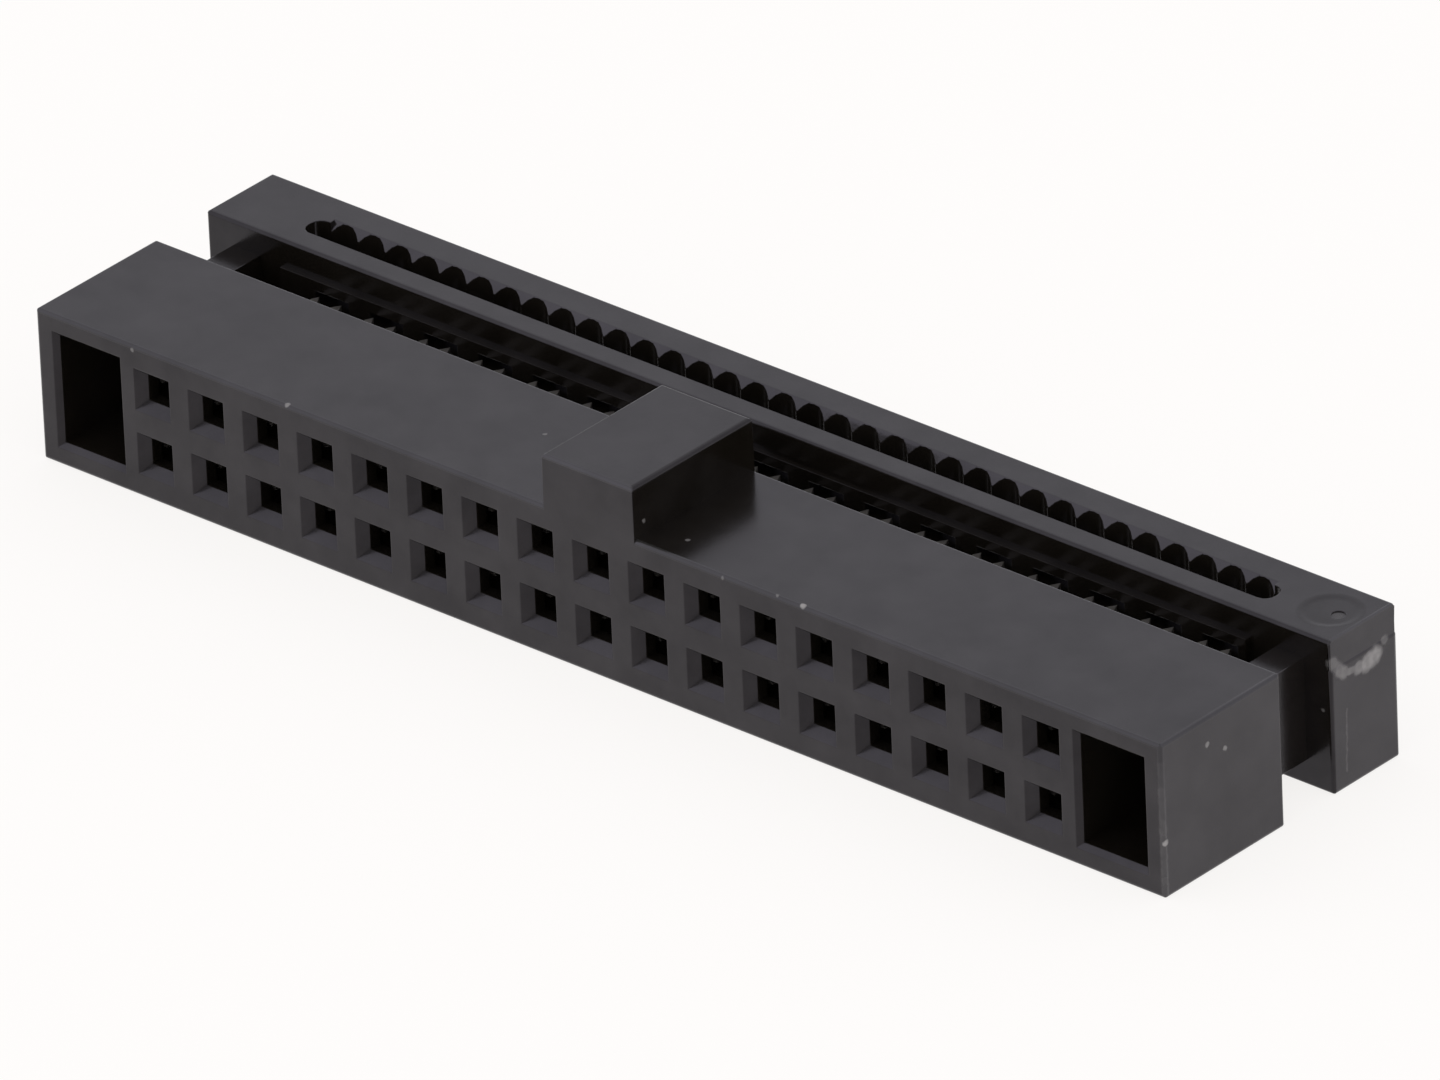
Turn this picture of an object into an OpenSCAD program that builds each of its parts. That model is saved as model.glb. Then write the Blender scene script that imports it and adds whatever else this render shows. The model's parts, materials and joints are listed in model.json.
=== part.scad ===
// Two-row insulation displacement socket for fine ribbon cable, lying on its side with the
// polarising key up. The cable cover stands open behind the housing on its two latch legs.
// X runs along the contact rows, Y from the mating face back to the cover, Z up.

/* [Contact grid] */
// Contact columns, each with one upper and one lower contact
columns = 17; // [4:1:25]
// Spacing of the columns
pitch = 1.27; // [1.2:0.01:1.6]
// Spacing of the two rows
row_pitch = 1.27; // [1.1:0.01:1.4]

/* [Housing] */
// Height of the housing and of the cover, without the key
body_h = 3; // [2.8:0.05:4]
// Depth of the housing from the mating face to its back
body_d = 3.15; // [2.9:0.05:4]
// From the last column to the end of the housing
end_margin = 2.69; // [2.5:0.01:3.5]
// Radius on the outer edges of the mouldings
edge_r = 0.08; // [0.04:0.01:0.2]

/* [Polarising key] */
// Width of the key
key_w = 2.07; // [1:0.01:4]
// Height of the key above the housing
key_h = 1.02; // [0.5:0.01:1.5]

/* [Pin sockets] */
// Width of the square mouth on the mating face
mouth_w = 0.82; // [0.6:0.01:1]
// Width of the square throat behind the mouth
throat_w = 0.48; // [0.4:0.01:0.55]
// Depth of the taper from mouth to throat
taper_d = 0.2; // [0.08:0.01:0.25]
// Depth at which the spring cavity starts
cavity_y = 0.45; // [0.35:0.01:0.6]
// Width of the spring cavity
cavity_w = 0.86; // [0.76:0.01:1]
// Height of the spring cavity
cavity_h = 0.6; // [0.5:0.01:0.8]

/* [Latch windows] */
// Width of the window in the mating face
window_w = 1.4; // [1.2:0.01:1.5]
// Height of the window
window_h = 2.11; // [2.1:0.01:2.4]
// Wall between the window and the end of the housing
window_wall = 0.47; // [0.3:0.01:0.5]
// Chamfer around the window's mouth
window_chamfer = 0.1; // [0.04:0.01:0.15]
// Length of the narrow rear passage, whose front is the ledge for the hook
ledge_len = 0.6; // [0.3:0.01:0.8]

/* [Cover] */
// Depth of the cover
cover_d = 1.75; // [1.6:0.01:2.4]
// Gap between housing and cover while the cover stands open
open_gap = 1.3; // [1.2:0.01:1.6]
// Wall in front of the cable slot
front_wall = 0.48; // [0.35:0.01:0.5]
// Width of the cable slot up to the tips of its teeth
slot_w = 0.5; // [0.46:0.01:0.56]
// Depth of the wire grooves in the back side of the slot
groove_d = 0.12; // [0.06:0.01:0.12]
// Radius of the wire grooves
groove_r = 0.43; // [0.3:0.01:0.43]
// Depth of the slope on the teeth that leads the cable in, at the top and at the bottom
lead_d = 0.2; // [0.1:0.01:0.4]
// Length of the slot beyond the outer wires' share of the ribbon
slot_end = 0.26; // [0.26:0.01:0.4]
// Rounding of the slot's corners
slot_corner_r = 0.22; // [0.1:0.01:0.22]
// Height of the raised band on the front of the cover
band_h = 2; // [1.9:0.01:2.4]
// Thickness of the raised band
band_t = 0.11; // [0.05:0.01:0.13]

/* [Latch legs] */
// Thickness of a leg
leg_t = 0.65; // [0.5:0.01:0.75]
// Height of a leg
leg_h = 2; // [1.6:0.01:2]
// Distance of a leg from the end of the cover
leg_inset = 0.6; // [0.52:0.01:0.7]
// Length of a leg from the front of the cover
leg_len = 2.7; // [2.5:0.01:2.9]
// Amount by which the hook stands out from the leg
hook_out = 0.28; // [0.15:0.01:0.35]
// Length of the hook's flat flank
hook_flat = 0.22; // [0.1:0.01:0.3]

/* [Gate mark on the cover] */
// Radius of the round dish around the moulding gate, at its rim
gate_r = 0.6; // [0.4:0.01:0.6]
// Radius of the dish's floor
gate_floor_r = 0.4; // [0.35:0.01:0.5]
// Depth of the dish
gate_depth = 0.05; // [0.02:0.01:0.1]
// Radius of the pit where the gate broke off
gate_pit_r = 0.13; // [0.08:0.01:0.15]
// Depth of the pit below the dish's floor
gate_pit_d = 0.05; // [0.02:0.01:0.1]
// Distance of the pit from the middle of the dish, towards the end of the cover
gate_pit_x = 0.16; // [0:0.01:0.2]
// Distance of the dish's centre from the end of the cover
gate_inset = 0.7; // [0.7:0.01:0.9]
// Set-back of the upper mould half at the gate end
parting_step = 0.04; // [0.02:0.01:0.08]
// Drop from the top of the cover to the parting step
parting_drop = 0.56; // [0.3:0.01:1]

/* [Contacts] */
// Thickness of the contact strip
strip_t = 0.15; // [0.1:0.01:0.18]
// Offset of the fork plane from the pin row, away from the middle
fork_step = 0.02; // [0.01:0.01:0.2]
// Width of one fork tine
tine_w = 0.22; // [0.16:0.01:0.24]
// Width of the slot between the tines
fork_slot_w = 0.22; // [0.15:0.01:0.24]
// Reach of the fork behind the housing
fork_reach = 1.16; // [0.9:0.01:1.17]
// Depth of the slot between the tines
fork_slot_d = 0.72; // [0.5:0.01:0.8]
// Length of the pointed end of a tine
tine_point = 0.15; // [0.1:0.01:0.3]
// Length of the lead-in at the mouth of the fork slot
tine_lead = 0.25; // [0.1:0.01:0.3]
// Distance of a tine's point from the fork slot
tine_apex = 0.15; // [0.1:0.01:0.16]
// Length of the fork's neck inside the housing
neck_len = 0.15; // [0.1:0.01:0.2]
// Width of one spring beam
beam_w = 0.14; // [0.1:0.01:0.16]
// Space between the spring beams at their root
beam_gap = 0.42; // [0.38:0.01:0.44]
// Space between the spring beams where they pinch the pin
pinch_gap = 0.36; // [0.3:0.01:0.37]
// Length of the spring beams
beam_len = 1.05; // [0.9:0.01:1.1]
// From the start of the spring cavity to the tips of the beams
beam_set_back = 0.1; // [0.05:0.01:0.15]
// Length of the slope from a beam's tip to its pinch point, and from there to its full gap
pinch_len = 0.2; // [0.1:0.01:0.3]
// Chamfer on the tip of a beam
beam_nose = 0.04; // [0.02:0.01:0.05]
// Length of the solid root behind the beams
beam_root = 0.15; // [0.1:0.01:0.2]
// Length of the jog from the pin row to the fork plane
jog_len = 0.2; // [0.15:0.01:0.3]

/* [Clearances] */
// Between a contact and the passage that it is seated in
seat_c = 0.01; // [0.005:0.005:0.02]
// Between the latch legs and their passages, and the band and its pocket
slide_c = 0.03; // [0.02:0.005:0.04]
// Between the forks and the slits of the cover
fork_c = 0.06; // [0.04:0.01:0.08]
// Between the hook and its ledge with the cover open
hook_c = 0.02; // [0.01:0.005:0.05]

/* [Hidden] */
body_l = (columns - 1) * pitch + 2 * end_margin;
overall_d = body_d + open_gap + cover_d;
front_y = -overall_d / 2;
back_y = front_y + body_d;
cover_y = back_y + open_gap;
mid_z = body_h / 2;

wire_pitch = pitch / 2;
wires = 2 * columns;
slot_l = wires * wire_pitch + 2 * slot_end;

leg_out_x = body_l / 2 - leg_inset;
leg_in_x = leg_out_x - leg_t;
hook_back_y = back_y - ledge_len - hook_c;
leg_tip_y = cover_y - leg_len;
leg_root = front_wall;

// Contact sizes, with y counted from the mating face and x and z from the pin's axis
fork_x = wire_pitch / 2;
fork_half = fork_slot_w / 2 + tine_w;
fork_tip_y = body_d + fork_reach;
fork_slot_y = fork_tip_y - fork_slot_d;
neck_y = body_d - band_t - slide_c - neck_len;
beam_half = beam_gap / 2 + beam_w;
beam_tip_y = cavity_y + beam_set_back;
beam_root_y = beam_tip_y + beam_len;
jog_y = beam_root_y + beam_root;
plate_y = jog_y + jog_len;

arc_steps = 4;
groove_steps = 6;
over = 0.2;

plastic = "#1c1c1e";
strip_metal = "#b9b2a6";

function two_digits(i) = i < 10 ? str("0", i) : str(i);
function upper_name(i) = str("contact_upper_", two_digits(i));
function lower_name(i) = str("contact_lower_", two_digits(i));
function column_x(i) = (i - (columns + 1) / 2) * pitch;

// Points of an arc about c, both ends included
function arc(c, r, from, to, steps = arc_steps) = [
    for (k = [0:steps])
        let (a = from + (to - from) * k / steps)
            [c[0] + r * cos(a), c[1] + r * sin(a)]
];

function mirrored_x(points) = [for (k = [len(points) - 1:-1:0]) [-points[k][0], points[k][1]]];

// Rectangle about the origin with rounded corners
module soft_rect(w, h, r) {
    right = concat(
        arc([w / 2 - r, r - h / 2], r, -90, 0),
        arc([w / 2 - r, h / 2 - r], r, 0, 90)
    );
    polygon(concat(right, mirrored_x(right)));
}

// Extrusion along X of an outline drawn in Y and Z, centred on X
module along_x(l) {
    rotate([90, 0, 90])
        linear_extrude(l, center = true)
            children();
}

// Extrusion along Y of an outline drawn in X and Z, from y = 0 back
module along_y(d) {
    translate([0, d, 0])
        rotate([90, 0, 0])
            linear_extrude(d)
                children();
}

// Moulded block with every edge rounded, standing on z = 0 with its front at y = 0
module soft_block(l, d, h, r) {
    translate([0, 0, h / 2])
        intersection() {
            translate([0, d / 2, 0])
                along_x(l)
                    soft_rect(d, h, r);
            along_y(d)
                soft_rect(l, h, r);
            translate([0, d / 2, 0])
                linear_extrude(h, center = true)
                    soft_rect(l, d, r);
        }
}

// Places of the contacts: the lower row is the upper one turned about Y
module at_upper(i) {
    translate([column_x(i), front_y, mid_z + row_pitch / 2])
        children();
}

module at_lower(i) {
    translate([0, 0, mid_z])
        rotate([0, 180, 0])
            translate([0, 0, -mid_z])
                at_upper(columns + 1 - i)
                    children();
}

module at_contacts() {
    for (i = [1:columns]) {
        at_upper(i)
            children();
        at_lower(i)
            children();
    }
}

module at_both_ends() {
    children();
    mirror([1, 0, 0])
        children();
}

// Tapered mouth on the mating face, w by h at its narrow end and wider by run on every side
module mouth(w, h, run, depth) {
    flare = run * (depth + over) / depth;
    side_x = [[w / 2 + flare, -over], [w / 2, depth]];
    side_z = [[h / 2 + flare, -over], [h / 2, depth]];
    intersection() {
        linear_extrude(h + 2 * flare, center = true)
            polygon(concat(side_x, mirrored_x(side_x)));
        rotate([0, 90, 0])
            linear_extrude(w + 2 * flare, center = true)
                polygon(concat(side_z, mirrored_x(side_z)));
    }
}

// Everything that one contact takes out of the housing
module contact_cavity() {
    passage_x = [-beam_half - seat_c, fork_x + fork_half + seat_c];
    passage_z = [-strip_t / 2 - seat_c, fork_step + strip_t / 2 + seat_c];
    mouth(throat_w, throat_w, (mouth_w - throat_w) / 2, taper_d);
    translate([-throat_w / 2, taper_d / 2, -throat_w / 2])
        cube([throat_w, cavity_y, throat_w]);
    translate([-cavity_w / 2, cavity_y, -cavity_h / 2])
        cube([cavity_w, jog_y - cavity_y, cavity_h]);
    translate([passage_x[0], jog_y - beam_root / 2, passage_z[0]])
        cube([passage_x[1] - passage_x[0], body_d, passage_z[1] - passage_z[0]]);
}

// Window for a latch leg, wide in front and narrow behind the hook's ledge
module latch_window() {
    window_x = body_l / 2 - window_wall - window_w;
    translate([window_x + window_w / 2, front_y, mid_z])
        mouth(window_w, window_h, window_chamfer, window_chamfer);
    translate([window_x, front_y - over, mid_z - window_h / 2])
        cube([window_w, body_d - ledge_len + over, window_h]);
    translate([leg_in_x - slide_c, front_y + over, mid_z - leg_h / 2 - slide_c])
        cube([leg_t + 2 * slide_c, body_d, leg_h + 2 * slide_c]);
}

// Polarising key with rounded top edges, across the whole depth
module key() {
    side = concat(
        [[key_w / 2, -edge_r]],
        arc([key_w / 2 - edge_r, key_h - edge_r], edge_r, 0, 90)
    );
    ends = concat(
        [[body_d / 2, -edge_r]],
        arc([body_d / 2 - edge_r, key_h - edge_r], edge_r, 0, 90)
    );
    translate([0, front_y, body_h])
        intersection() {
            along_y(body_d)
                polygon(concat(side, mirrored_x(side)));
            translate([0, body_d / 2, 0])
                along_x(2 * key_w)
                    polygon(concat(ends, mirrored_x(ends)));
        }
}

module housing() {
    pocket = [slot_l + 2 * slide_c, band_t + slide_c, band_h + 2 * slide_c];
    color(plastic)
        difference() {
            union() {
                translate([0, front_y, 0])
                    soft_block(body_l, body_d, body_h, edge_r);
                key();
            }
            at_contacts()
                contact_cavity();
            at_both_ends()
                latch_window();
            translate([-pocket[0] / 2, back_y - pocket[1], mid_z - pocket[2] / 2])
                cube([pocket[0], pocket[1] + over, pocket[2]]);
        }
}

// Latch leg with a hook on its inner side
module latch_leg() {
    outline = [
        [leg_in_x, cover_y + leg_root],
        [leg_in_x, hook_back_y],
        [leg_in_x - hook_out, hook_back_y],
        [leg_in_x - hook_out, hook_back_y - hook_flat],
        [leg_in_x, leg_tip_y],
        [leg_out_x - edge_r, leg_tip_y],
        [leg_out_x, leg_tip_y + edge_r],
        [leg_out_x, cover_y + leg_root]
    ];
    translate([0, 0, mid_z - leg_h / 2])
        linear_extrude(leg_h)
            polygon(outline);
}

// Outline of one wire groove, from the middle of the slot to the groove's floor
module groove_outline() {
    half_angle = acos(1 - groove_d / groove_r);
    half_w = groove_r * sin(half_angle);
    centre = [0, slot_w + groove_d - groove_r];
    floor_arc = arc(centre, groove_r, 90 - half_angle, 90 + half_angle, groove_steps);
    polygon(concat([[half_w, slot_w / 2]], floor_arc, [[-half_w, slot_w / 2]]));
}

// Slope over the tips of the teeth at the top of the slot
module lead_in() {
    slope = groove_d / lead_d;
    translate([0, 0, body_h])
        along_x(wires * wire_pitch)
            polygon([
                [slot_w / 2, -lead_d],
                [slot_w, -lead_d],
                [slot_w + groove_d + over * slope, over],
                [slot_w / 2, over]
            ]);
}

// Cable slot with a row of wire grooves along its back side
module cable_slot() {
    translate([0, cover_y + front_wall, 0]) {
        translate([0, 0, -over])
            linear_extrude(body_h + 2 * over) {
                translate([0, slot_w / 2])
                    soft_rect(slot_l, slot_w, slot_corner_r);
                for (k = [1:wires])
                    translate([(k - (wires + 1) / 2) * wire_pitch, 0])
                        groove_outline();
            }
        lead_in();
        translate([0, 0, body_h])
            mirror([0, 0, 1])
                lead_in();
    }
}

// Slit for one fork through the cover's front wall and into the teeth
module fork_slit() {
    half = fork_half + fork_c;
    start = body_d + open_gap - band_t - over;
    end = body_d + open_gap + fork_reach + fork_c;
    thick = strip_t + 2 * fork_c;
    translate([fork_x - half, start, fork_step - thick / 2])
        cube([2 * half, end - start, thick]);
}

// Round gate dish with the pit of the broken gate, and the parting step beside it
module gate_mark() {
    slope = (gate_r - gate_floor_r) / gate_depth;
    translate([body_l / 2 - gate_inset, cover_y + cover_d / 2, body_h - gate_depth]) {
        cylinder(r1 = gate_floor_r, r2 = gate_floor_r + slope * over, h = over, $fn = 48);
        translate([gate_pit_x, 0, -gate_pit_d])
            cylinder(r = gate_pit_r, h = gate_pit_d + over, $fn = 24);
    }
    translate([body_l / 2 - parting_step, cover_y - over, body_h - parting_drop])
        cube([over, cover_d + 2 * over, parting_drop + over]);
}

module cover() {
    color(plastic)
        difference() {
            union() {
                translate([0, cover_y, 0])
                    soft_block(body_l, cover_d, body_h, edge_r);
                translate([-slot_l / 2, cover_y - band_t, mid_z - band_h / 2])
                    cube([slot_l, band_t + front_wall / 2, band_h]);
                at_both_ends()
                    latch_leg();
            }
            cable_slot();
            at_contacts()
                fork_slit();
            gate_mark();
        }
}

// Fork with two pointed tines, and the plate that seats it in the housing
module fork_plate() {
    inner = fork_slot_w / 2;
    tine = [
        [fork_half, neck_y - neck_len],
        [fork_half, fork_tip_y - tine_point],
        [inner + tine_apex, fork_tip_y],
        [inner, fork_tip_y - tine_lead]
    ];
    slot_foot = arc([0, fork_slot_y + inner], inner, 0, -180);
    linear_extrude(strip_t, center = true) {
        translate([-beam_half, plate_y])
            square([beam_half + fork_x + fork_half, neck_y - plate_y]);
        translate([fork_x, 0])
            polygon(concat(tine, slot_foot, mirrored_x(tine)));
    }
}

// Two spring beams that pinch the pin, on their common root
module spring_beams() {
    side = [
        [beam_half, jog_y],
        [beam_half, beam_tip_y + beam_nose],
        [beam_half - beam_nose, beam_tip_y],
        [pinch_gap / 2 + beam_nose, beam_tip_y],
        [pinch_gap / 2, beam_tip_y + pinch_len],
        [beam_gap / 2, beam_tip_y + 2 * pinch_len],
        [beam_gap / 2, beam_root_y]
    ];
    linear_extrude(strip_t, center = true)
        polygon(concat(side, mirrored_x(side)));
}

// Sloped jog from the pin row up to the fork plane
module jog() {
    along_x(2 * beam_half)
        polygon([
            [jog_y, -strip_t / 2],
            [plate_y, fork_step - strip_t / 2],
            [plate_y, fork_step + strip_t / 2],
            [jog_y, strip_t / 2]
        ]);
}

module contact() {
    color(strip_metal)
        union() {
            spring_beams();
            jog();
            translate([0, 0, fork_step])
                fork_plate();
        }
}

housing();
cover();
for (i = [1:columns]) {
    at_upper(i) contact();
    at_lower(i) contact();
}
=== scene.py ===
# %% [markdown]
# # A two-row ribbon-cable socket
# The object is a small insulation displacement connector: a black moulded housing with 34 pin
# sockets, 34 stamped metal contacts with forked tails, and a moulded cover that is pressed down
# on a ribbon cable. The construction is already packed as a frame of exact parts, so this script
# only dresses those parts: it softens their edges, gives them finishes and lights them.
# The first step loads the frame.

# %% Load the frame
import json
import math

import bmesh
import bpy
from mathutils import Matrix, Vector


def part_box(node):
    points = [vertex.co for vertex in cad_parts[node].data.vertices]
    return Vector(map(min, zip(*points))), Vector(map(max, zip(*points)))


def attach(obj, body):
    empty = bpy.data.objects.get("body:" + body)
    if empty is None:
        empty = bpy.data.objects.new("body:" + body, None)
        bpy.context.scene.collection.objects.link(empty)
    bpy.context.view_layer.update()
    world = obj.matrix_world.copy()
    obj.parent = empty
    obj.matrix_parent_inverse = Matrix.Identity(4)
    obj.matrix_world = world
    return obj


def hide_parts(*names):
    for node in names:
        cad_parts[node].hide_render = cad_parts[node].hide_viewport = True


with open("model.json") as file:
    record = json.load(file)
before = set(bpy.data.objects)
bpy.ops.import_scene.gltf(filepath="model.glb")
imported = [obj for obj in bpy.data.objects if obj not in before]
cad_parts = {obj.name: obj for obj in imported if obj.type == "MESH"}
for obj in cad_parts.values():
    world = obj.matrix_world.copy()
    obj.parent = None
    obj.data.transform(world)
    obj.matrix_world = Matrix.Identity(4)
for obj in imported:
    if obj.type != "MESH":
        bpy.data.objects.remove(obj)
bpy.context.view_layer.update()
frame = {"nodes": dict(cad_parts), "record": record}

MM = 0.001
for body, members in frame["record"]["behaviour"]["bodies"].items():
    print(f"body {body}: {len(members)} parts")

# %% [markdown]
# ## Measures taken from the frame
# Blender works in metres here, and the whole object is under 26 mm long, so lengths are written
# in millimetres and multiplied by MM. The places that the dressing needs are read from the boxes
# of the parts. They could be typed in again, but then they would go wrong when the construction
# changes.

# %% Measure the frame
housing_low, housing_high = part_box("housing")
cover_low, cover_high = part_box("cover")
print(f"housing from y {housing_low.y / MM:.2f} to {housing_high.y / MM:.2f} mm")
print(f"cover with its legs from y {cover_low.y / MM:.2f} to {cover_high.y / MM:.2f} mm")

# %% [markdown]
# ## Colours and nodes
# Colours are written as the hex values that a picture shows. The shader wants linear light, so
# one function turns the one into the other. Linear numbers could be typed in, but a hex value can
# be compared with a picture. A second function adds a shader node, sets it up and links it in one
# call, which keeps each material readable from top to bottom.


# %% Colour and node helpers
def linear(hex_colour):
    """Linear RGBA of an sRGB hex colour."""
    channels = [int(hex_colour[k:k + 2], 16) / 255 for k in (1, 3, 5)]
    return [c / 12.92 if c <= 0.04045 else ((c + 0.055) / 1.055) ** 2.4 for c in channels] + [1]


def add(tree, kind, inputs=(), **settings):
    """Adds a shader node. A value in inputs is a number to set or an output socket to link."""
    made = tree.nodes.new("ShaderNode" + kind)
    for name, value in settings.items():
        setattr(made, name, value)
    for key, value in dict(inputs).items():
        if isinstance(value, bpy.types.NodeSocket):
            tree.links.new(value, made.inputs[key])
        else:
            made.inputs[key].default_value = value
    return made


def new_material(name):
    material = bpy.data.materials.new(name)
    material.use_nodes = True
    material.node_tree.nodes.clear()
    return material, material.node_tree


def per(mm):
    """Scale of a texture whose features are this many millimetres apart."""
    return 1 / (mm * MM)


print("middle grey in linear light:", round(linear("#808080")[0], 3))

# %% [markdown]
# ## A mask for marks
# A part this small is photographed much larger than life, so every dust grain shows, and a few
# marks are painted highlights rather than dust. Each mark is a line from one point to another with
# a half width and a strength, and a grain is a line of no length. The shader measures how far each
# point of the surface lies from the line, and noise frays the mark and makes it blotchy. A painted
# mask could do the same, but it needs an unwrapped mesh and an image beside the script.

# %% Mask for marks
RAGGED_MM = 0.08
RAGGED_SPACING_MM = 0.14
CORE_SHARE = 0.4  # share of the half width within which a mark has its full strength
LEAST_BLOTCH, MOST_BLOTCH = 0.75, 1.05


def marks_mask(tree, place, marks):
    """Strength of the nearest mark, 0 elsewhere. A mark is start, end, half width and strength."""
    noise = add(tree, "TexNoise", {
        "Vector": place, "Scale": per(RAGGED_SPACING_MM), "Detail": 3.0,
    }).outputs
    push = add(tree, "VectorMath", {
        0: noise["Color"], 1: (0.5, 0.5, 0.5),
    }, operation="SUBTRACT").outputs[0]
    shift = add(tree, "VectorMath", {
        0: push, "Scale": RAGGED_MM * MM,
    }, operation="SCALE").outputs[0]
    ragged = add(tree, "VectorMath", {0: place, 1: shift}, operation="ADD").outputs[0]
    mask = 0.0
    for start, end, half_width, strength in marks:
        run = (Vector(end) - Vector(start)) * MM
        along = run / (run.length_squared or 1)
        offset = add(tree, "VectorMath", {
            0: ragged, 1: Vector(start) * MM,
        }, operation="SUBTRACT").outputs[0]
        share = add(tree, "VectorMath", {
            0: offset, 1: along,
        }, operation="DOT_PRODUCT").outputs["Value"]
        inside = add(tree, "Clamp", {"Value": share}).outputs[0]
        nearest = add(tree, "VectorMath", {0: run, "Scale": inside}, operation="SCALE").outputs[0]
        away = add(tree, "VectorMath", {
            0: offset, 1: nearest,
        }, operation="DISTANCE").outputs["Value"]
        spot = add(tree, "MapRange", {
            "Value": away, "To Max": strength,
            "From Min": half_width * MM, "From Max": half_width * MM * CORE_SHARE,
        }, interpolation_type="SMOOTHSTEP").outputs["Result"]
        mask = add(tree, "Math", {0: mask, 1: spot}, operation="MAXIMUM").outputs[0]
    blotch = add(tree, "MapRange", {
        "Value": noise["Fac"], "From Min": 0.35, "From Max": 0.6,
        "To Min": LEAST_BLOTCH, "To Max": MOST_BLOTCH,
    }).outputs["Result"]
    return add(tree, "Math", {0: mask, 1: blotch}, operation="MULTIPLY").outputs[0]


print(f"marks fray by {RAGGED_MM} mm, in bites {RAGGED_SPACING_MM} mm apart")

# %% [markdown]
# ## Dust, scuffs and painted highlights
# The housing has a painted highlight along its front right edge, which fades upwards, and a
# dozen dust grains. The cover has a pale scuff on its right end, made of five strokes, the last
# two the widest and the palest. It also has a fine upright scratch below the scuff, a painted
# highlight in the pit where the gate broke off, and two grains. All lengths are in millimetres in
# the frame of the part. Grains could be strewn at random, but these are few, and each lies where
# it is seen.


# %% Dust, scuffs and painted highlights
def grain(x, y, z, half_width, strength):
    return (x, y, z), (x, y, z), half_width, strength


END = cover_high.x / MM
FRONT = housing_low.y / MM
TOP = cover_high.z / MM
front_edge = (END - 0.02, FRONT + 0.02)
housing_marks = [
    # the first three marks paint a highlight along the front right edge, fading upwards
    ((*front_edge, 0.05), (*front_edge, 1.50), 0.10, 0.14),
    ((*front_edge, 1.45), (*front_edge, 2.10), 0.10, 0.10),
    ((*front_edge, 2.05), (*front_edge, 2.60), 0.09, 0.05),
    grain(END, -3.05, 1.08, 0.08, 1.0), grain(4.84, -3.07, TOP, 0.08, 1.0),
    grain(-6.98, -3.05, TOP, 0.07, 0.7), grain(END, -1.90, 2.48, 0.07, 0.6),
    grain(END, -1.44, 2.21, 0.07, 0.6), grain(-2.70, -1.17, TOP, 0.06, 0.4),
    grain(-1.08, FRONT, 3.13, 0.05, 0.4), grain(1.04, -2.83, 3.27, 0.06, 0.5),
    grain(1.75, -2.52, TOP, 0.06, 0.4), grain(3.03, FRONT, 2.95, 0.05, 0.4),
    grain(4.25, -3.06, TOP, 0.05, 0.4), grain(-10.57, FRONT, 2.90, 0.06, 0.4),
]
cover_marks = [
    ((END - 0.01, 1.42, 2.56), (END, 1.58, 2.38), 0.15, 0.32),
    ((END, 1.58, 2.36), (END, 1.70, 2.25), 0.15, 0.50),
    ((END, 1.72, 2.24), (END, 2.06, 2.19), 0.10, 0.45),
    ((END, 2.08, 2.18), (END, 2.32, 2.18), 0.17, 0.60),
    ((END, 2.30, 2.18), (END, 2.52, 2.23), 0.23, 0.85),
    ((END, 1.69, 0.34), (END, 1.74, 1.53), 0.03, 0.15),
    # the second mark on the next line paints a highlight in the gate's pit; the others are grains
    grain(END - 0.01, 2.79, 2.41, 0.12, 0.28), grain(12.31, 2.20, TOP - 0.04, 0.17, 0.10),
    grain(12.66, 1.35, 1.62, 0.05, 0.4),
]
print(len(housing_marks), "marks on the housing,", len(cover_marks), "on the cover")

# %% [markdown]
# ## Moulded plastic
# The housing and the cover are injection moulded in black glass-filled polyester. The plastic has
# hardly any colour of its own, a brownish black that shows only in the gap and the slot. Nearly
# all that the eye sees is the white surroundings, mirrored softly in its satin skin, so faces that
# look at a bright wall are grey and faces that look at another piece are black. Fine spark-eroded
# grain blurs the mirror, the flow of the melt makes it slightly cloudy, and dust and scuffs lie
# matt and pale on it, together with a few pale marks that are painted highlights. Rims are painted
# paler as a highlight, and on some faces the mirror is weakened, which paints shade on them. Both
# come from face attributes that a later step writes. A mid grey matte paint could give the same
# mean grey, but then no face would go black beside the key, as it does here.
# Noise in the part's own coordinates keeps its real size everywhere and needs no unwrapping.

# %% Moulded plastic
GRAIN_MM = 0.05  # the real grain is about half as wide, and is drawn coarser so that it shows
GRAIN_DEPTH_MM = 0.004
CLOUD_MM = 0.9
BLACK = "#120f0b"
CLOUDY_BLACK = "#191612"
RIM_HIGHLIGHT_BLACK = "#292826"
DUST_AND_HIGHLIGHT_GREY = "#8d8a86"
MIRROR_TINT = "#f5f0ff"
LEAST_SHINE, MOST_SHINE = 0.47, 0.57
SHINE_LOST = 0.1  # for each step of the face attribute that paints shade
LEAST_ROUGH, MOST_ROUGH = 0.18, 0.22
DUST_AND_HIGHLIGHT_ROUGHNESS = 0.5


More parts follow.
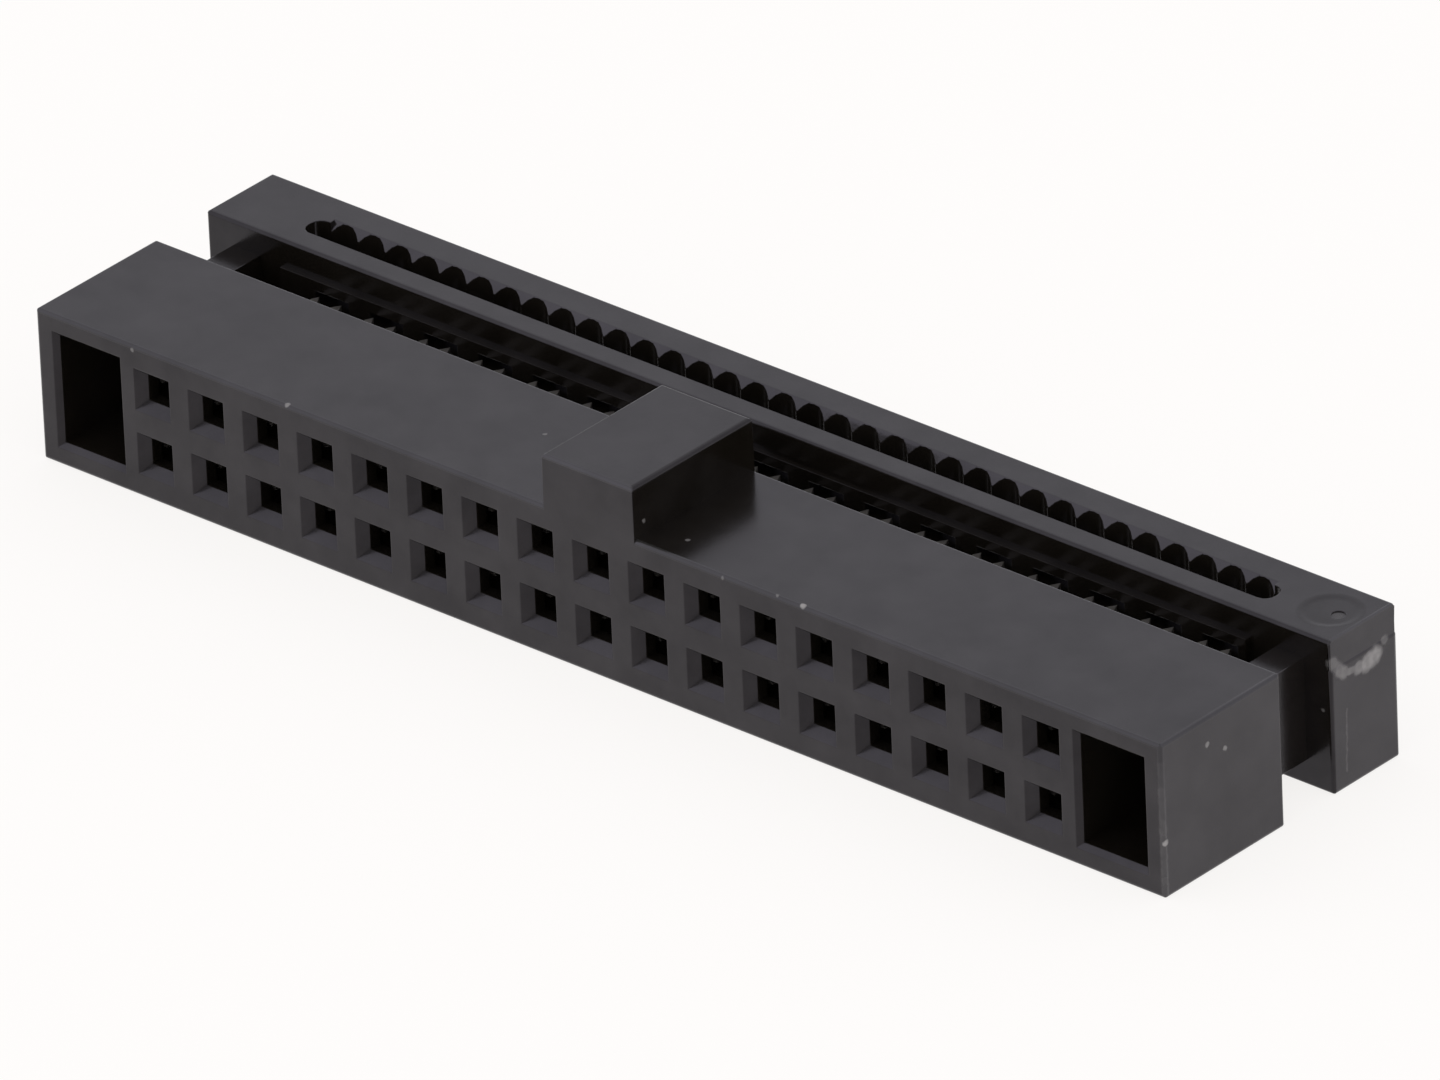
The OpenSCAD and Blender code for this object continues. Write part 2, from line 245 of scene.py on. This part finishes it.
def moulded_plastic(name, marks):
    material, tree = new_material(name)
    place = add(tree, "TexCoord").outputs["Object"]
    clouds = add(tree, "TexNoise", {
        "Vector": place, "Scale": per(CLOUD_MM), "Detail": 5.0, "Roughness": 0.6,
    })
    cloud = add(tree, "MapRange", {
        "Value": clouds.outputs["Fac"], "From Min": 0.3, "From Max": 0.7,
    }).outputs["Result"]
    spark = add(tree, "TexNoise", {"Vector": place, "Scale": per(GRAIN_MM), "Detail": 2.0})
    rim = add(tree, "Attribute", attribute_name="rim").outputs["Fac"]
    painted_shade = add(tree, "Attribute", attribute_name="painted_shade").outputs["Fac"]
    dust_and_highlight = marks_mask(tree, place, marks)
    clean = add(tree, "Mix", {
        "Factor": cloud, "A": linear(BLACK), "B": linear(CLOUDY_BLACK),
    }, data_type="RGBA").outputs["Result"]
    # the paler rims paint a highlight along the rounded edges
    rim_highlighted = add(tree, "Mix", {
        "Factor": rim, "A": clean, "B": linear(RIM_HIGHLIGHT_BLACK),
    }, data_type="RGBA").outputs["Result"]
    # the marks are dust and scuffs, and a few are painted highlights
    dusty_and_highlighted = add(tree, "Mix", {
        "Factor": dust_and_highlight, "A": rim_highlighted, "B": linear(DUST_AND_HIGHLIGHT_GREY),
    }, data_type="RGBA").outputs["Result"]
    glossy = add(tree, "MapRange", {
        "Value": cloud, "To Min": LEAST_SHINE, "To Max": MOST_SHINE,
    }).outputs["Result"]
    # the marked faces lose some of their mirror, which paints shade on them
    shine = add(tree, "Math", {
        0: painted_shade, 1: -SHINE_LOST, 2: glossy,
    }, operation="MULTIPLY_ADD").outputs[0]
    satin = add(tree, "MapRange", {
        "Value": cloud, "To Min": LEAST_ROUGH, "To Max": MOST_ROUGH,
    }).outputs["Result"]
    matt = add(tree, "Math", {
        0: dust_and_highlight, 1: DUST_AND_HIGHLIGHT_ROUGHNESS, 2: satin,
    }, operation="MULTIPLY_ADD", use_clamp=True).outputs[0]
    bump = add(tree, "Bump", {
        "Height": spark.outputs["Fac"], "Strength": 0.3, "Distance": GRAIN_DEPTH_MM * MM,
    })
    shader = add(tree, "BsdfPrincipled", {
        "Base Color": dusty_and_highlighted, "Roughness": matt, "Specular IOR Level": shine, "IOR": 1.52,
        "Specular Tint": linear(MIRROR_TINT), "Normal": bump.outputs["Normal"],
    })
    add(tree, "OutputMaterial", {"Surface": shader.outputs["BSDF"]})
    return material


housing_plastic = moulded_plastic("black_glass_filled_polyester_housing", housing_marks)
cover_plastic = moulded_plastic("black_glass_filled_polyester_cover", cover_marks)
print("materials:", [m.name for m in bpy.data.materials])

# %% [markdown]
# ## Soft edges
# Moulded edges are never knife sharp: the cutter and the spark leave a tiny radius in the mould,
# and the light catches it. The CAD parts already have their large edge radii, and their remaining
# sharp outer edges get a fine bevel here. The Bevel modifier could do this too, but the operator
# can be given just the edges that we pick.

# %% Soft edges
SHARP_ANGLE = math.radians(28)
SOFT_EDGE = 0.02 * MM
SOFT_SEGMENTS = 2


def soften_edges(shape):
    """Bevels the outer edges that are sharper than SHARP_ANGLE and returns how many they were."""
    sharp = [e for e in shape.edges if e.calc_face_angle_signed() > SHARP_ANGLE]
    bmesh.ops.bevel(
        shape, geom=sharp, offset=SOFT_EDGE, offset_type="OFFSET", segments=SOFT_SEGMENTS,
        profile=0.5, affect="EDGES", clamp_overlap=False, loop_slide=True, material=-1,
    )
    return len(sharp)


print(f"soft edges are {SOFT_EDGE / MM:.2f} mm wide")

# %% [markdown]
# ## Gate and parting step
# The melt entered the mould in a round dish at the right end of the cover, and the two halves of
# the mould meet there in a small step. Both barely show, so their points are moved part of the
# way to the face beside them, and the step's ledge is sloped. A new dish and step could be cut
# instead, but moving the points keeps the faces that the CAD part has.

# %% Gate and parting step
GATE_PLACE = Vector((cover_high.x - 0.7 * MM, cover_high.y - 0.875 * MM))
GATE_RADIUS = 0.61 * MM
GATE_DEPTH = 0.11 * MM
STEP_DEPTH = 0.045 * MM
STEP_DROP = 0.6 * MM
STEP_SLOPE = 0.05 * MM
EASE = 0.45


def in_gate(point):
    return (point.xy - GATE_PLACE).length < GATE_RADIUS


def ease_cover_marks(shape):
    """Makes the gate's dish and the parting step shallower."""
    for vert in shape.verts:
        below = cover_high.z - vert.co.z
        inside = cover_high.x - vert.co.x
        if in_gate(vert.co) and below < GATE_DEPTH:
            vert.co.z = cover_high.z - EASE * below
        elif inside < STEP_DEPTH and below < STEP_DROP:
            vert.co.x = cover_high.x - EASE * inside
            if below > STEP_DROP - STEP_SLOPE:
                vert.co.z -= STEP_SLOPE * (1 - inside / STEP_DEPTH)


print(f"gate and parting step keep {EASE:.0%} of their depth")

# %% [markdown]
# ## Painted highlight on rims and painted shade on dull faces
# Two numbers on each face tell the plastic how to paint it. Rims are the roundings where two outer
# planes meet, painted paler as a highlight. Dull faces get a weaker mirror, which paints shade on
# them: the mating face and the gate's dish a little, the flanks of the socket tapers, the faces in
# the gap and the key's edges more, and the sides of the key most. Separate materials could do
# this, but then the clouds and the dust would have to be matched from one to the next.

# %% Rims and dull faces: painted highlight and painted shade
EDGE_ZONE = 0.085 * MM
CORE_DEPTH = 0.25 * MM
GAP_DEPTH = 1.45 * MM
SQUARE = 0.995  # largest part of a normal that is square to an axis
TURNED = 0.3  # part of a normal that is clearly turned to one side
MORE_PAINTED_SHADE = 2  # the mating face and the gate's dish have 1
MOST_PAINTED_SHADE = 4
ENDS = [(0, cover_low.x), (0, cover_high.x), (2, cover_low.z), (2, cover_high.z)]
HOUSING_PLANES = ENDS + [(1, housing_low.y), (2, housing_high.z)]
COVER_PLANES = ENDS + [(1, cover_high.y)]


def mark_faces(shape, planes):
    """Marks the roundings along the outer planes as rims for a painted highlight, and the faces
    that get painted shade.
    """
    rim = shape.faces.layers.float.new("rim")
    painted_shade = shape.faces.layers.float.new("painted_shade")
    for face in shape.faces:
        centre = face.calc_center_median()
        rounded = max(abs(c) for c in face.normal) < SQUARE
        on_edge = sum(abs(centre[axis] - place) < EDGE_ZONE for axis, place in planes) > 1
        to_front = face.normal.y < -TURNED and centre.z < cover_high.z
        on_core = to_front and centre.y < housing_low.y + CORE_DEPTH
        on_flank = on_core and not on_edge and abs(face.normal.x) > TURNED
        in_gap = to_front and 0 < centre.y - housing_high.y < GAP_DEPTH
        on_dish = in_gate(centre) and cover_high.z - centre.z < GATE_DEPTH
        key_edge = rounded and not on_edge and housing_high.z - centre.z < EDGE_ZONE
        key_side = abs(face.normal.x) > SQUARE and centre.z > cover_high.z
        # rims get a painted highlight
        face[rim] = float(on_edge and rounded)
        # these faces get painted shade: a weaker mirror darkens them
        if key_side:
            face[painted_shade] = MOST_PAINTED_SHADE
        elif key_edge or in_gap or on_flank:
            face[painted_shade] = MORE_PAINTED_SHADE
        else:
            face[painted_shade] = float(on_core or on_dish)


print(len(HOUSING_PLANES), "outer planes on the housing,", len(COVER_PLANES), "on the cover")

# %% [markdown]
# ## Corner normals
# Smooth shading turns the light gradually from face to face. On large flat faces that would leave
# grey streaks, so each face corner gets its own normal: a flat face keeps its own all over, and a
# rounding leans to the flat face beside it. The Weighted Normal modifier is made for this, but it
# can leave streaks where thin faces meet large ones, as they do along the slot.

# %% Corner normals
FLAT_WIDTH = 0.12 * MM
LEAN_ANGLE = math.radians(40)


def corner_normals(shape):
    """A normal for each face corner, in the order of the faces and their corners."""
    flat = {
        f for f in shape.faces
        if f.calc_area() / max(e.calc_length() for e in f.edges) > FLAT_WIDTH
    }
    normals = []
    for face in shape.faces:
        for loop in face.loops:
            turns = [(f.normal.angle(face.normal, 0), f) for f in loop.vert.link_faces]
            beside = [f for turn, f in turns if turn < LEAN_ANGLE and f in flat]
            near = [f for turn, f in turns if turn < SHARP_ANGLE]
            group = [face] if face in flat else beside or near
            normals.append(sum((f.normal * f.calc_area() for f in group), Vector()).normalized())
    return normals


print(f"faces wider than {FLAT_WIDTH / MM:.2f} mm count as flat")

# %% [markdown]
# ## Softened mouldings
# A CAD part comes as loose triangles. A copy of each moulding is merged into one skin and its flat
# faces are joined, and then the steps above soften and mark it. The copy stands for the CAD part
# in the picture and rides on the same body. The CAD part could be edited itself, but it is the
# construction, and stays as it was packed.

# %% Softened mouldings
MERGE_DISTANCE = 0.0001 * MM
FLAT_ANGLE = math.radians(1)


def dress_moulding(node_name, piece_name, body, material, planes):
    """Puts a softened and marked copy of a CAD moulding in the place of its node."""
    shape = bmesh.new()
    shape.from_mesh(frame["nodes"][node_name].data)
    bmesh.ops.remove_doubles(shape, verts=shape.verts, dist=MERGE_DISTANCE)
    bmesh.ops.dissolve_limit(shape, angle_limit=FLAT_ANGLE, verts=shape.verts, edges=shape.edges)
    softened_edges = soften_edges(shape)
    if node_name == "cover":
        ease_cover_marks(shape)
    shape.normal_update()
    mark_faces(shape, planes)
    for face in shape.faces:
        face.smooth = True
    normals = corner_normals(shape)
    mesh = bpy.data.meshes.new(piece_name)
    shape.to_mesh(mesh)
    shape.free()
    mesh.normals_split_custom_set(normals)
    mesh.materials.clear()
    mesh.materials.append(material)
    piece = bpy.data.objects.new(piece_name, mesh)
    bpy.context.scene.collection.objects.link(piece)
    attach(piece, body)
    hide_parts(node_name)
    print(f"{piece_name}: {softened_edges} edges softened, {len(mesh.polygons)} faces")


dress_moulding("housing", "housing_moulding", "housing", housing_plastic, HOUSING_PLANES)
dress_moulding("cover", "cover_moulding", "cover", cover_plastic, COVER_PLANES)

# %% [markdown]
# ## Stamped contact strip
# The contacts are stamped from phosphor bronze strip and tinned, so they are a pale warm grey.
# Rolling the strip leaves faint streaks along it, and handling leaves duller patches. One even
# grey could do from afar, but the streaks and patches make it look like metal. The CAD contacts
# have the right shape, so they stay and only get this metal in their material slot.

# %% Contact metal
STREAK_MM = 0.03  # real roll lines are finer, and are drawn coarser so that they show
STREAK_STRETCH = 0.08
PATCH_MM = 0.4
DULL_TIN = "#6f6c68"
BRIGHT_TIN = "#8e8a84"
SMOOTH_STREAK, ROUGH_STREAK = 0.4, 0.55


def tinned_bronze(name):
    material, tree = new_material(name)
    place = add(tree, "TexCoord").outputs["Object"]
    stretched = add(tree, "Mapping", {
        "Vector": place, "Scale": (1.0, STREAK_STRETCH, 1.0),
    }).outputs["Vector"]
    streaks = add(tree, "TexNoise", {
        "Vector": stretched, "Scale": per(STREAK_MM), "Detail": 2.0,
    })
    patches = add(tree, "TexNoise", {"Vector": place, "Scale": per(PATCH_MM), "Detail": 3.0})
    colour = add(tree, "Mix", {
        "Factor": patches.outputs["Fac"], "A": linear(DULL_TIN), "B": linear(BRIGHT_TIN),
    }, data_type="RGBA").outputs["Result"]
    roughness = add(tree, "MapRange", {
        "Value": streaks.outputs["Fac"], "From Min": 0.3, "From Max": 0.7,
        "To Min": SMOOTH_STREAK, "To Max": ROUGH_STREAK,
    }).outputs["Result"]
    shader = add(tree, "BsdfPrincipled", {
        "Base Color": colour, "Metallic": 1.0, "Roughness": roughness,
    })
    add(tree, "OutputMaterial", {"Surface": shader.outputs["BSDF"]})
    return material


contact_metal = tinned_bronze("tinned_phosphor_bronze_strip")
contacts = [part for name, part in frame["nodes"].items() if name.startswith("contact_")]
for contact in contacts:
    contact.material_slots[0].link = "OBJECT"
    contact.material_slots[0].material = contact_metal
print(len(contacts), "contacts in", contact_metal.name)

# %% [markdown]
# ## Floor
# The object lies on a plain white sheet. A large disc is enough for it, because no edge of it
# comes near the picture. A plane would do as well.

# %% Floor
FLOOR_RADIUS = 600 * MM
FLOOR_DROP = 0.002 * MM
floor_mesh = bpy.data.meshes.new("floor")
shape = bmesh.new()
bmesh.ops.create_circle(shape, cap_ends=True, radius=FLOOR_RADIUS, segments=96)
bmesh.ops.translate(shape, verts=shape.verts, vec=(0, 0, -FLOOR_DROP))
shape.to_mesh(floor_mesh)
shape.free()
floor = bpy.data.objects.new("floor", floor_mesh)
bpy.context.scene.collection.objects.link(floor)
print("floor radius in mm:", round(FLOOR_RADIUS / MM))

# %% [markdown]
# ## White paper
# The camera and the mirroring skin of the plastic see part of the sheet's light as a glow of
# strength 1, which is white. The rest is real reflected light, so the soft shadow of the object
# stays. More lamp light could make it white too, but it would bleach the object.

# %% White paper
GLOW_SHARE = 0.85
PAPER_WHITE = "#fbfaf8"
GLOW_WHITE = "#fffdfb"
floor_material, tree = new_material("white_paper_sheet")
rays = add(tree, "LightPath").outputs
mirrored = add(tree, "Math", {
    0: rays["Is Glossy Ray"], 1: rays["Is Transmission Ray"],
}, operation="ADD").outputs[0]
seen = add(tree, "Math", {
    0: rays["Is Camera Ray"], 1: mirrored,
}, operation="ADD", use_clamp=True).outputs[0]
share = add(tree, "Math", {0: seen, 1: GLOW_SHARE}, operation="MULTIPLY").outputs[0]
paper = add(tree, "BsdfDiffuse", {"Color": linear(PAPER_WHITE)}).outputs["BSDF"]
glow = add(tree, "Emission", {"Color": linear(GLOW_WHITE), "Strength": 1.0}).outputs["Emission"]
sheet = add(tree, "MixShader", {0: share, 1: paper, 2: glow})
add(tree, "OutputMaterial", {"Surface": sheet.outputs["Shader"]})
floor_mesh.materials.append(floor_material)
print(f"{floor_material.name} glows with {GLOW_SHARE:.0%} of its light")

# %% [markdown]
# ## Light
# The object lies in a tent of white cloth that is lit from all sides. Its roof is a little dimmer
# than its walls, and there is one brighter panel at the front left. Both back corners are dim: the
# top faces mirror the left one, and the key's side and the rounded end edges mirror the right one.
# Area lamps could light it as well, but black plastic would show each of them as a highlight, and
# here there are none to see, so one world shader makes the whole tent.

# %% Light
TENT_WALL = 1.15
TENT_ROOF = 0.85
ROOF_RIM = 0.75  # height at which the wall starts to bend into the roof, on a tent of radius 1
ROOF_TOP = 0.95
CLOTH_WHITE = "#f9f9ff"
# Direction, change of strength, and the cosines of the angles from it at which the change starts
# and is full
TENT_ZONES = {
    "panel": ((-0.60, -0.65, 0.47), 0.25, 0.78, 0.96),
    "left corner": ((-0.59, 0.65, 0.48), -0.39, 0.91, 0.985),
    "right corner": ((0.55, 0.65, 0.53), -0.2, 0.85, 0.97),
}
world = bpy.data.worlds.new("tent")
bpy.context.scene.world = world
world.use_nodes = True
tree = world.node_tree
tree.nodes.clear()
direction = add(tree, "TexCoord").outputs["Generated"]
height = add(tree, "SeparateXYZ", {"Vector": direction}).outputs["Z"]
level = add(tree, "MapRange", {
    "Value": height, "From Min": ROOF_RIM, "From Max": ROOF_TOP,
    "To Min": TENT_WALL, "To Max": TENT_ROOF,
}, interpolation_type="SMOOTHSTEP").outputs["Result"]
for zone, (towards, change, start, full) in TENT_ZONES.items():
    facing = add(tree, "VectorMath", {
        0: direction, 1: Vector(towards).normalized(),
    }, operation="DOT_PRODUCT").outputs["Value"]
    more = add(tree, "MapRange", {
        "Value": facing, "From Min": start, "From Max": full, "To Max": change,
    }, interpolation_type="SMOOTHSTEP").outputs["Result"]
    level = add(tree, "Math", {0: level, 1: more}, operation="ADD").outputs[0]
    print(f"{zone} of the tent: strength {TENT_WALL + change:.2f}")
tent = add(tree, "Background", {"Color": linear(CLOTH_WHITE), "Strength": level})
add(tree, "OutputWorld", {"Surface": tent.outputs["Background"]})
print("tent walls", TENT_WALL, "roof", TENT_ROOF)

# %% [markdown]
# ## Camera
# The camera looks from the front right at an elevation of 29 degrees, from nearly half a metre
# away through a very long lens, so parallel edges stay nearly parallel. Its place was solved from
# the sockets and corners in the photo, and it is rolled slightly, as the photo is. A Track To
# constraint could aim it, but it can't roll it, so its axes are worked out here.

# %% Camera
IMAGE_WIDTH = 1440
AZIMUTH = math.radians(42.334)
ELEVATION = math.radians(29.015)
ROLL = math.radians(-2.602)
DISTANCE = 481.3 * MM
FOCAL_PIXELS = 27932
AIM = Vector((0.363, -0.179, 1.492)) * MM
camera_data = bpy.data.cameras.new("camera")
camera_data.sensor_width = 36
camera_data.lens = FOCAL_PIXELS / IMAGE_WIDTH * camera_data.sensor_width
camera_data.clip_start = 0.01
camera_data.clip_end = 10
camera = bpy.data.objects.new("camera", camera_data)
bpy.context.scene.collection.objects.link(camera)
back = Vector((
    math.sin(AZIMUTH) * math.cos(ELEVATION),
    -math.cos(AZIMUTH) * math.cos(ELEVATION),
    math.sin(ELEVATION),
))
right = Vector((math.cos(AZIMUTH), math.sin(AZIMUTH), 0))
up = back.cross(right)
turned_right = math.cos(ROLL) * right + math.sin(ROLL) * up
turned_up = back.cross(turned_right)
turn = Matrix((turned_right, turned_up, back)).transposed()
camera.matrix_world = Matrix.Translation(AIM + back * DISTANCE) @ turn.to_4x4()
bpy.context.scene.camera = camera
bpy.context.scene.view_settings.view_transform = "Standard"
print(f"lens {camera_data.lens:.0f} mm on a {camera_data.sensor_width:.0f} mm sensor")
